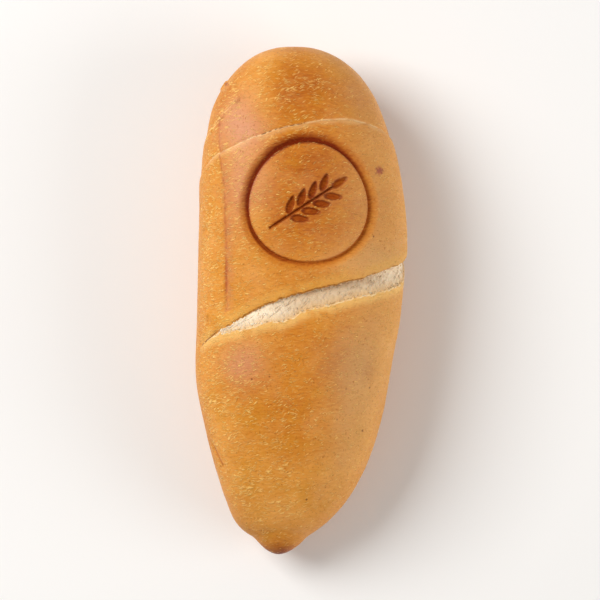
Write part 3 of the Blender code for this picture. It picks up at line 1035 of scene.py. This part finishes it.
    def _lines(self, tree: Tree, place: Socket, colour: Socket, traces: Traces) -> Socket:
        """Pale edges and dark cracks along the seams, the tinted crease and fold, and the rims of the split.

        Args:
            tree: The material's node tree.
            place: Drifted position in millimetres.
            colour: The colour so far.
            traces: The skin's traces by name.

        Returns:
            The colour with the lines.
        """
        masks = []
        for line in self.lines:
            off = add(tree, "Math", {0: traces[line.trace], 1: line.middle}, operation="SUBTRACT")
            away = add(tree, "Math", {0: off}, operation="ABSOLUTE")
            whole = add(tree, "MapRange", line.profile().reading(away), interpolation_type="SMOOTHSTEP")
            patches = add(tree, "TexNoise", {"Vector": place, "Scale": 1 / line.patch, "Detail": 2.0})
            kept = add(tree, "MapRange", line.patches().reading(patches))
            masks.append((add(tree, "Math", {0: whole, 1: kept}, operation="MULTIPLY"), line.tint))
        grain = add(tree, "TexNoise", {"Vector": place, "Scale": 0.75, "Detail": 1.0})
        for trace, window, half_width, sparse in self.dashes:
            dashes = add(tree, "MapRange", Ramp(sparse, sparse + 0.07).reading(grain))
            away = add(tree, "Math", {0: traces[trace]}, operation="ABSOLUTE")
            core = add(tree, "MapRange", Ramp(half_width, 0.08, 0.8).reading(away))
            dashed = add(tree, "Math", {0: core, 1: dashes}, operation="MULTIPLY")
            cracks = add(tree, "Math", {0: dashed, 1: traces[window]}, operation="MULTIPLY")
            masks.append((cracks, self.dark_crack))
        for mask, tint in masks:
            colour = add(
                tree, "Mix", {FACTOR: mask, UNDER: colour, OVER: linear(tint)}, BLENDED, data_type="RGBA"
            )
        return colour

    def _spots(self, tree: Tree, mm: Socket, colour: Socket, traces: Traces) -> Socket:
        """A few small dark spots on the upper side.

        Args:
            tree: The material's node tree.
            mm: Position in millimetres.
            colour: The colour so far.
            traces: The skin's traces by name.

        Returns:
            The colour with the spots.
        """
        flat = add(tree, "VectorMath", {0: mm, 1: (1.0, 1.0, 0.0)}, operation="MULTIPLY")
        rag = add(tree, "TexNoise", {"Vector": mm, "Scale": 1.1, "Detail": 3.0})
        for stain in self.stains:
            place = (stain.x, stain.y, 0.0)
            away = add(tree, "VectorMath", {0: flat, 1: place}, "Value", operation="DISTANCE")
            ragged = add(tree, "Math", {0: rag, 1: 2.0 * stain.radius, 2: away}, operation="MULTIPLY_ADD")
            spot = add(tree, "MapRange", stain.edge().reading(ragged), interpolation_type="SMOOTHSTEP")
            mask = add(tree, "Math", {0: spot, 1: traces["upside"]}, operation="MULTIPLY")
            tinted = {FACTOR: mask, UNDER: colour, OVER: linear(stain.tint)}
            colour = add(tree, "Mix", tinted, BLENDED, data_type="RGBA")
        return colour

    def _torn(self, tree: Tree, place: Socket, colour: Socket, traces: Traces) -> tuple[Socket, Socket]:
        """Torn crumb between the split's edges, specked with brown near both.

        A warm tint darkens it towards the lower edge, partly a rim colour and partly painted shade.

        Args:
            tree: The material's node tree.
            place: Position in millimetres.
            colour: The crust's colour.
            traces: The skin's traces by name.

        Returns:
            The colour with the crumb and the crumb's mask.
        """
        wall = add(tree, "Math", {0: traces["rip_below"], 1: self.crumb_starts}, operation="SUBTRACT")
        inside = add(tree, "Math", {0: wall, 1: traces["rip_above"]}, operation="MINIMUM")
        rag = add(tree, "TexNoise", {"Vector": place, "Scale": 1.2, "Detail": 3.0})
        ragged = add(tree, "Math", {0: rag, 1: self.crumb_rag, 2: inside}, operation="MULTIPLY_ADD")
        mask = add(tree, "MapRange", self.crumb_edge.reading(ragged))
        speckle = add(tree, "TexNoise", {"Vector": place, "Scale": 1.4, "Detail": 2.0})
        near_edge = add(tree, "MapRange", self.speck_margin.reading(inside))
        grains = add(tree, "MapRange", self.specks.reading(speckle))
        specks = add(tree, "Math", {0: grains, 1: near_edge}, operation="MULTIPLY")
        # Warm tint towards the lower edge, partly rim colour and partly painted shade
        rim_shaded = add(tree, "MapRange", self.crumb_rim_shading.reading(traces["rip_above"]))
        torn = self.crumb.colour(tree, place, traces["crumb_tone"])
        for amount, tint in ((rim_shaded, self.crumb_rim), (specks, self.crumb_speck)):
            torn = add(
                tree, "Mix", {FACTOR: amount, UNDER: torn, OVER: linear(tint)}, BLENDED, data_type="RGBA"
            )
        return add(tree, "Mix", {FACTOR: mask, UNDER: colour, OVER: torn}, BLENDED, data_type="RGBA"), mask


@dataclass(frozen=True)
class StudioPaper:
    """Warm white seamless paper, matt, with a faint unevenness that keeps it from looking like plastic."""

    name: str = "seamless_paper"
    white: str = "F4F2F0"
    shaded: str = "F1EFEC"
    roughness: float = 0.9

    def material(self) -> bpy.types.Material:
        """Builds the paper's material.

        Returns:
            The finished material.
        """
        material, tree, place = new_material(self.name)
        cloud = add(tree, "TexNoise", {"Vector": place, "Scale": 3.0, "Detail": 2.0})
        mixed = {FACTOR: cloud, UNDER: linear(self.white), OVER: linear(self.shaded)}
        colour = add(tree, "Mix", mixed, BLENDED, data_type="RGBA")
        feed(tree, tree.nodes["Principled BSDF"], {"Base Color": colour, "Roughness": self.roughness})
        return material


@dataclass
class BreadRoll:
    """The whole roll: its form, what was done to its dough, and its skin."""

    loaf: Loaf = Loaf()
    upper_seam: WoundEdge = WoundEdge(
        Trace((
            (-150.0, 22.0), (-120.0, 29.0), (-90.0, 37.0), (-71.0, 42.1), (-42.0, 48.1), (-20.0, 52.3),
            (4.0, 55.2), (31.0, 56.5), (50.0, 55.2), (70.0, 52.8), (95.0, 47.5), (125.0, 40.0), (150.0, 33.0)
        ))
    )
    shoulder_seam: WoundEdge = WoundEdge(
        Trace((
            (-150.0, 33.0), (-120.0, 41.0), (-90.0, 48.5), (-68.0, 54.7), (-58.0, 57.9), (-51.0, 61.2),
            (-41.0, 66.4)
        )),
        fade=7.0, waver=0.6, seed=5.0
    )
    crease: Crease = Crease()
    fold: Crease = Crease(
        Trace(((-55.0, -55.0), (-51.5, -59.0), (-48.0, -64.0), (-43.5, -72.0))), depth=0.45, width=1.1,
        radius=26.0, fade=2.5
    )
    split: Split = Split()
    mark: PressedMark = PressedMark()
    neck: KnobNeck = KnobNeck()
    base_bake: float = 0.36
    # Places browned more or less; the one at y 44 and 12 degrees is painted shade on the disc's top, and the
    # one at y 25 and -25 degrees is painted light on its left edge
    browner_and_shaded: Spots = Spots((
        (0.0, 2.0, 400.0, 30.0, 0.13), (66.0, 8.0, 10.0, 28.0, 0.17), (63.0, 44.0, 9.0, 16.0, 0.18),
        (77.0, 0.0, 4.0, 60.0, -0.12), (44.0, 12.0, 5.0, 24.0, 0.14), (30.0, 12.0, 14.0, 34.0, 0.22),
        (60.0, -62.0, 14.0, 12.0, 0.16), (66.0, -30.0, 9.0, 10.0, -0.08), (7.0, 0.0, 6.0, 20.0, 0.03),
        (-17.0, 30.0, 9.0, 15.0, 0.17), (-14.0, 60.0, 10.0, 12.0, -0.1), (11.0, 30.0, 3.0, 50.0, -0.08),
        (-22.0, -50.0, 14.0, 16.0, 0.05), (-58.0, 10.0, 12.0, 40.0, -0.19), (-68.0, 0.0, 6.0, 30.0, -0.14),
        (-42.0, -52.0, 10.0, 14.0, -0.1), (25.0, -25.0, 5.0, 7.0, -0.12), (24.0, -42.0, 18.0, 8.0, 0.06),
        (-6.0, -36.0, 5.0, 14.0, -0.12), (-13.0, -30.0, 4.0, 20.0, -0.08), (4.0, -20.0, 4.0, 9.0, -0.06),
        (6.0, 11.0, 2.5, 12.0, 0.05), (-6.0, 12.0, 3.0, 10.0, -0.06), (-24.0, -30.0, 6.0, 10.0, 0.1),
        (9.0, -24.0, 4.0, 14.0, -0.06), (-2.5, 6.0, 3.0, 14.0, -0.1), (-40.0, 56.0, 16.0, 16.0, -0.12),
        (10.0, 88.0, 55.0, 22.0, -0.16), (-81.0, 0.0, 3.2, 400.0, 0.52), (8.0, -43.4, 5.0, 1.3, 0.35),
        (56.5, -57.0, 3.0, 1.3, 0.3), (-22.5, 45.0, 3.0, 6.0, 0.2), (-21.0, 18.0, 4.0, 8.0, 0.1),
        (-29.0, 26.0, 3.5, 8.0, 0.1)
    ))
    # Pink patches on the left: partly bloom of the crust and partly painted sheen
    bloom_and_sheen_spots: Spots = Spots((
        (56.0, -44.0, 9.0, 15.0, 0.65), (52.0, -28.0, 5.0, 9.0, 0.3), (38.0, -36.0, 15.0, 9.0, 0.5),
        (38.0, -22.0, 10.0, 8.0, 0.25), (-19.5, -32.0, 7.0, 14.0, 0.5)
    ))
    # Tan patches on the right: partly paler crust and partly painted reflected haze
    tan_and_haze_spots: Spots = Spots((
        (0.0, 62.0, 70.0, 32.0, 0.3), (60.0, 44.0, 14.0, 18.0, 0.2), (32.0, 34.0, 16.0, 20.0, 0.2),
        (12.0, 40.0, 6.0, 34.0, 0.3), (-20.0, 34.0, 14.0, 18.0, 0.4), (-42.0, 40.0, 16.0, 20.0, 0.2)
    ))
    crowded: Spots = Spots((
        (66.0, 2.0, 12.0, 28.0, 0.2), (10.0, -56.0, 60.0, 26.0, 0.35), (-42.0, -40.0, 24.0, 30.0, 0.2),
        (-62.0, 0.0, 10.0, 60.0, 0.3), (28.0, -38.0, 14.0, 12.0, 0.15), (60.0, -50.0, 12.0, 16.0, 0.1),
        (22.0, 0.0, 8.0, 24.0, 0.12), (43.7, 0.0, 4.0, 8.0, -0.35), (-82.0, 0.0, 5.0, 400.0, -0.9),
        (-10.0, 60.0, 90.0, 36.0, -0.6)
    ))
    cuts_across: int = 56
    cuts_along: int = 146
    crest_crowding: float = 0.35
    blunt_crowding: float = 0.2
    # How near to them the net is halved once and twice
    finer_near_ring: Pair = (3.4, 1.7)
    finer_near_split: Pair = (1.8, 0.7)
    finer_near_edges: Pair = (1.8, 0.65)
    finer_to_angle: float = 100.0
    least_split: float = 0.3
    flakes: Spots = Spots((
        (67.3, -88.0, 1.7, 5.0, 1.0), (62.6, -45.0, 1.3, 2.4, 0.9), (57.6, -55.0, 1.2, 2.6, 0.9),
        (53.4, -66.0, 1.1, 2.4, 0.8), (-4.2, -60.0, 1.3, 2.6, 0.8), (45.2, -60.0, 1.0, 2.4, 0.7)
    ))
    flake_height: float = 0.45
    flake_edge: Pair = (0.3, 0.6)
    near_flake: float = 0.1
    edge_softness: float = 0.6
    unevenness: tuple[Ripple, ...] = (
        Ripple(0.16, 13.0, 41.0), Ripple(0.07, 4.5, 42.0), Ripple(0.03, 1.6, 43.0)
    )
    upside_over: Pair = (22.0, 25.0)
    # Angles over which the dashes begin and end along the upper seam, and begin at the split's tip
    cracks_begin: Pair = (-37.0, -24.0)
    cracks_end: Pair = (14.0, 2.0)
    tip_cracks_begin: Pair = (-46.0, -56.0)

    def _spread(self, mesh: bpy.types.Mesh) -> Surface:
        """Where a unit sphere's points lie on the smooth roll.

        Args:
            mesh: A net on the unit sphere.

        Returns:
            The points' stations, angles and places, crowded towards the crest and the blunt end.
        """
        direction = coordinates(mesh)
        share = direction[:, 1] + self.blunt_crowding * (1 - direction[:, 1] ** 2)
        angle = np.arctan2(direction[:, 0], direction[:, 2])
        y = share * np.where(share < 0, -self.loaf.knob_end_y, self.loaf.length / 2)
        degrees = np.degrees(angle - self.crest_crowding * np.sin(angle))
        return Surface(y, degrees, self.loaf.points(y, degrees))

    def _detailed(self, surface: Surface, level: int) -> Array:
        """True where the net has to be finer: in the pressed mark, along the open split and along the seams.

        Args:
            surface: Points on the smooth roll.
            level: 0 for the first halving of the net's faces and 1 for the second.

        Returns:
            A flag for each point.
        """
        margin = self.finer_near_split[level]
        upper, lower = self.split.edges(surface)
        opened = upper - lower > self.least_split
        in_split = opened & (surface.y < upper + margin) & (surface.y > lower - margin)
        beyond = self.mark.beyond(surface)
        if level:
            in_mark = (np.abs(beyond) < self.finer_near_ring[1]) | (self.mark.ear_share(surface) > 0)
        else:
            in_mark = beyond < self.finer_near_ring[0]
        edges = (self.upper_seam, self.shoulder_seam, self.crease, self.fold)
        traces = [edge.trace(surface) for edge in edges]
        near_edge = np.min(np.abs(traces), axis=0) < self.finer_near_edges[level]
        near_edge &= np.abs(surface.degrees) < self.finer_to_angle
        in_flake = self.flakes.amount(surface) > self.near_flake
        return in_split | in_mark | near_edge | in_flake

    def _net(self) -> bpy.types.Mesh:
        """A cube cut into a net and moved out to a unit sphere, finer where the roll has small relief.

        Returns:
            The net as a mesh.
        """
        net = bmesh.new()
        bmesh.ops.create_cube(net, size=2.0)
        for axis, cuts in ((1, self.cuts_along), (0, self.cuts_across), (2, self.cuts_across)):
            running = [e for e in net.edges if abs((e.verts[0].co - e.verts[1].co)[axis]) > 0.5]
            bmesh.ops.subdivide_edges(net, edges=running, cuts=cuts, use_grid_fill=True)
        for vert in net.verts:
            evened = Vector([math.tan(c * math.pi / 4) for c in vert.co])
            vert.co = evened.normalized()
        mesh = bpy.data.meshes.new("bread_roll_skin")
        net.to_mesh(mesh)
        for level in (0, 1):
            detailed = self._detailed(self._spread(mesh), level)
            net.verts.ensure_lookup_table()
            finer = [e for e in net.edges if all(detailed[v.index] for v in e.verts)]
            bmesh.ops.subdivide_edges(net, edges=finer, cuts=1, use_grid_fill=True)
            for vert in net.verts:
                vert.co.normalize()
            net.to_mesh(mesh)
        net.free()
        return mesh

    def _relief(self, surface: Surface) -> Array:
        """Everything that stands out of or is sunk in the smooth form.

        Args:
            surface: Points on the smooth roll.

        Returns:
            Height along the normal at each point.
        """
        flakes = ease(*self.flake_edge, self.flakes.amount(surface))
        total = self.loaf.swells.amount(surface) + self.flake_height * flakes
        total += surface.rippled(*self.unevenness)
        worked = (
            self.upper_seam, self.shoulder_seam, self.crease, self.fold, self.split, self.mark, self.neck
        )
        for feature in worked:
            total += feature.relief(surface)
        return total

    def _settle(self, points: Array) -> Array:
        """Presses the underside flat on the floor, with a soft edge, and centres its width over the solid's.

        Args:
            points: Rows of x, y, z.

        Returns:
            The points with nothing below the floor.
        """
        settled = points.copy()
        z = points[:, 2]
        settled[:, 2] = (z + np.sqrt(z**2 + self.edge_softness**2)) / 2
        settled[:, 2] -= settled[:, 2].min()
        low, high = (np.array(corner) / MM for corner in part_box("bread_roll"))
        settled[:, 0] += (low[0] + high[0] - settled[:, 0].min() - settled[:, 0].max()) / 2
        return settled

    def _traces(self, surface: Surface) -> dict[str, Array]:
        """What the crust's material reads at each point.

        Args:
            surface: Points on the smooth roll.

        Returns:
            One array for each named trace.
        """
        degrees = surface.degrees
        rip_below, rip_above = self.split.trace(surface)
        return {
            # Browning, with painted shade and light on the disc
            "bake_and_shade": self.base_bake + self.browner_and_shaded.amount(surface),
            # Partly bloom and partly painted sheen
            "bloom_and_sheen": np.clip(self.bloom_and_sheen_spots.amount(surface), 0.0, 1.0),
            # Partly paler crust and partly painted reflected haze
            "tan": np.clip(self.tan_and_haze_spots.amount(surface), 0.0, 1.0),
            "pressed": np.maximum(np.sqrt(self.mark.groove_share(surface)), self.mark.ear_share(surface)),
            "flecked": self.crowded.amount(surface),
            "seam_upper": self.upper_seam.trace(surface),
            "seam_shoulder": self.shoulder_seam.trace(surface),
            "cracks": ease(*self.cracks_begin, degrees) * ease(*self.cracks_end, degrees),
            "crease": self.crease.trace(surface),
            "fold": self.fold.trace(surface),
            "rip_below": rip_below,
            "rip_above": rip_above,
            "ring": self.mark.beyond(surface),
            # Painted shade in the ring, heaviest at the upper left
            "ring_shade": self.mark.ring_shade(surface),
            # Browning of the ear's floor and painted shade on its sides
            "ear": self.mark.ear_browning_and_shade(surface),
            "upside": ease(*self.upside_over, surface.points[:, 2]),
            # How far the crumb turns darker and greyer
            "crumb_tone": self.split.crumb_tone(degrees),
            "tip": ease(*self.tip_cracks_begin, degrees) * self.split.upper.present(degrees, self.split.fade),
        }

    def skin(self, crust: BakedCrust) -> bpy.types.Object:
        """Builds the roll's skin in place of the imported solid.

        Args:
            crust: Its finish.

        Returns:
            The skin.
        """
        mesh = self._net()
        surface = self._spread(mesh)
        mesh.vertices.foreach_set("co", surface.points.astype(np.float32).ravel())
        mesh.update()
        normals = np.empty(len(mesh.vertices) * 3, np.float32)
        mesh.vertex_normals.foreach_get("vector", normals)
        raised = surface.points + normals.reshape(-1, 3) * self._relief(surface)[:, None]
        mesh.vertices.foreach_set("co", (self._settle(raised) * MM).astype(np.float32).ravel())
        for name, values in self._traces(surface).items():
            record(mesh, name, values)
        mesh.update()
        mesh.shade_smooth()
        mesh.materials.append(crust.material())
        skin = placed("bread_roll_skin", mesh)
        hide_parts("bread_roll")
        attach(skin, "root")
        return skin


@dataclass
class CrumbShreds:
    """Strands of torn crumb that still reach across the split, and loose crumbs along its edges."""

    roll: BreadRoll
    strands: int = 110
    strand_span: Pair = (-50.0, 82.0)
    strand_radius: Pair = (0.06, 0.14)
    strand_taper: float = 0.45
    # Shares of the way down the crumb at which strands start, and how much further down they end
    strand_starts: Pair = (0.15, 0.6)
    strand_reach: Pair = (0.15, 0.35)
    strand_lean: float = 8.0
    strand_sides: int = 5
    strand_bends: int = 5
    bow: Pair = (0.1, 0.3)
    root_depth: float = 0.1
    crumbs: int = 70
    crumb_radius: Pair = (0.16, 0.4)
    crumb_shape: Triple = (1.3, 0.8, 0.8)
    crumb_bands: tuple[Pair, Pair] = ((0.1, 0.3), (0.8, 1.0))
    least_split: float = 1.0
    darkens_over: Pair = (-18.0, 2.0)
    seed: int = 12

    def _on_skin(self, skin: BVHTree, degrees: float, share: float) -> Vector | None:
        """A point of the skin within the split.

        Args:
            skin: The finished skin, in millimetres.
            degrees: Angle round the roll.
            share: 0 at the split's upper edge and 1 at its lower edge.

        Returns:
            The point straight below the split's own station there, if the split is open and there is one.
        """
        at = np.array([degrees])
        upper, lower = self.roll.split.upper.at(at)[0], self.roll.split.lower.at(at)[0]
        if upper - lower < self.least_split:
            return None
        x, y, _ = self.roll.loaf.points(np.array([upper + share * (lower - upper)]), at)[0]
        return skin.ray_cast(Vector((x, y, 2 * self.roll.loaf.height)), Vector((0.0, 0.0, -1.0)))[0]

    def _strand(self, mesh: bmesh.types.BMesh, start: Vector, end: Vector, radius: float, bow: float) -> None:
        """Adds one strand, bowed up off the crumb and rooted in it at both ends.

        Args:
            mesh: The mesh to add it to.
            start: Its thick end.
            end: Its thin end.
            radius: Its radius at the thick end.
            bow: How far its middle stands off a straight line.
        """
        length = (end - start).length
        first = len(mesh.verts)
        cone = bmesh.ops.create_cone(
            mesh, cap_ends=True, segments=self.strand_sides, radius1=radius,
            radius2=radius * self.strand_taper, depth=length
        )
        edges = {e for v in cone["verts"] for e in v.link_edges}
        sides = {e for e in edges if abs(e.verts[0].co.z - e.verts[1].co.z) > length / 2}
        bmesh.ops.subdivide_edges(mesh, edges=list(sides), cuts=self.strand_bends)
        mesh.verts.ensure_lookup_table()
        verts = mesh.verts[first:]
        for vert in verts:
            vert.co.x += bow * (1 - (2 * vert.co.z / length) ** 2) - self.root_depth
        along = (end - start).normalized()
        up = Vector((0.0, 0.0, 1.0))
        outwards = (up - along * along.z).normalized()
        turn = Matrix((outwards, along.cross(outwards), along)).transposed().to_4x4()
        bmesh.ops.transform(mesh, matrix=Matrix.Translation((start + end) / 2) @ turn, verts=verts)

    def build(self, skin: bpy.types.Object, crumb: TornCrumb) -> bpy.types.Object:
        """Builds the strands and crumbs on the finished skin.

        Args:
            skin: The roll's skin.
            crumb: Their finish.

        Returns:
            The strands and crumbs as one piece.
        """
        chance = random.Random(self.seed)
        worked = bmesh.new()
        worked.from_mesh(skin.data)
        bmesh.ops.scale(worked, vec=(1 / MM,) * 3, verts=worked.verts)
        surface = BVHTree.FromBMesh(worked)
        worked.free()
        shreds = bmesh.new()
        for _ in range(self.strands):
            degrees = chance.uniform(*self.strand_span)
            lean = self.strand_lean * chance.uniform(-0.5, 1.0)
            high = chance.uniform(*self.strand_starts)
            start = self._on_skin(surface, degrees + lean / 2, high)
            end = self._on_skin(surface, degrees - lean / 2, high + chance.uniform(*self.strand_reach))
            radius = chance.uniform(*self.strand_radius)
            bow = chance.uniform(*self.bow)
            if start and end:
                self._strand(shreds, start, end, radius, bow)
        for _ in range(self.crumbs):
            share = chance.choice([chance.uniform(*band) for band in self.crumb_bands])
            place = self._on_skin(surface, chance.uniform(*self.strand_span), share)
            radius = chance.uniform(*self.crumb_radius)
            turn = Matrix.Rotation(chance.uniform(0.0, math.pi), 4, "Z")
            size = Matrix.Diagonal([radius * side for side in self.crumb_shape] + [1.0])
            if place:
                matrix = Matrix.Translation(place) @ turn @ size
                bmesh.ops.create_icosphere(shreds, subdivisions=1, radius=1.0, matrix=matrix)
        bmesh.ops.scale(shreds, vec=(MM,) * 3, verts=shreds.verts)
        mesh = bpy.data.meshes.new("crumb_shreds")
        shreds.to_mesh(mesh)
        shreds.free()
        # The strands turn darker and greyer like the crumb beside them
        record(mesh, "crumb_tone", ease(*self.darkens_over, coordinates(mesh)[:, 0] / MM))
        mesh.shade_smooth()
        mesh.materials.append(crumb.material())
        piece = placed("crumb_shreds", mesh)
        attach(piece, "root")
        return piece


@dataclass
class Studio:
    """Pale paper floor, a soft key light from the picture's upper left, soft fill, and the camera above."""

    centre_x: float = -0.43
    centre_y: float = 0.0
    outline_height: float = 21.0
    view_width: float = 189.7
    distance: float = 1600.0
    sensor: float = 36.0
    floor_size: float = 6000.0
    key_size: float = 700.0
    key_power: float = 14.5
    key_place: Triple = (-760.0, 430.0, 900.0)
    fill_size: float = 900.0
    fill_power: float = 8.5
    fill_place: Triple = (1100.0, -300.0, 480.0)
    sky: str = "FFFDFA"
    sky_strength: float = 0.3

    def floor(self, paper: StudioPaper) -> bpy.types.Object:
        """Lays the floor.

        Args:
            paper: Its finish.

        Returns:
            The floor.
        """
        sheet = bmesh.new()
        bmesh.ops.create_grid(sheet, x_segments=8, y_segments=8, size=self.floor_size * MM / 2)
        mesh = bpy.data.meshes.new("floor")
        sheet.to_mesh(mesh)
        sheet.free()
        mesh.materials.append(paper.material())
        floor = placed("floor", mesh)
        return floor

    def _softbox(self, name: str, size: float, power: float, place: Triple) -> None:
        """Hangs a square soft light that faces the roll.

        Args:
            name: The light's name.
            size: Its side in millimetres.
            power: Its power in watts.
            place: Where it hangs.
        """
        lamp = bpy.data.lights.new(name, "AREA")
        lamp.size = size * MM
        lamp.energy = power
        softbox = placed(name, lamp)
        softbox.location = Vector(place) * MM
        towards = Vector((0.0, 0.0, self.outline_height * MM)) - softbox.location
        softbox.rotation_euler = towards.to_track_quat("-Z", "Y").to_euler()

    def lights(self) -> None:
        """Hangs the key and the fill, and lights the room's pale walls."""
        self._softbox("key_light", self.key_size, self.key_power, self.key_place)
        self._softbox("fill_light", self.fill_size, self.fill_power, self.fill_place)
        world = bpy.data.worlds.new("pale_room")
        world.use_nodes = True
        background = world.node_tree.nodes["Background"]
        background.inputs["Color"].default_value = linear(self.sky)
        background.inputs["Strength"].default_value = self.sky_strength
        bpy.context.scene.world = world
        bpy.context.scene.view_settings.view_transform = "Standard"

    def camera(self) -> None:
        """Sets the camera straight above the roll's marked face."""
        lens = bpy.data.cameras.new("camera")
        lens.sensor_width = self.sensor
        lens.lens = self.sensor * self.distance / self.view_width
        lens.clip_end = 20.0
        camera = placed("camera", lens)
        camera.location = Vector((self.centre_x, self.centre_y, self.outline_height + self.distance)) * MM
        bpy.context.scene.camera = camera


def main() -> None:
    """Builds the studio and the roll."""
    logging.basicConfig(level=logging.INFO, format="%(message)s")
    studio = Studio()
    studio.camera()
    studio.lights()
    studio.floor(StudioPaper())
    LOG.info("studio is set")
    roll = BreadRoll()
    skin = roll.skin(BakedCrust())
    LOG.info("skin has %d faces", len(skin.data.polygons))
    shreds = CrumbShreds(roll).build(skin, TornCrumb())
    LOG.info("crumb shreds have %d faces", len(shreds.data.polygons))


if __name__ == "__main__":
    main()
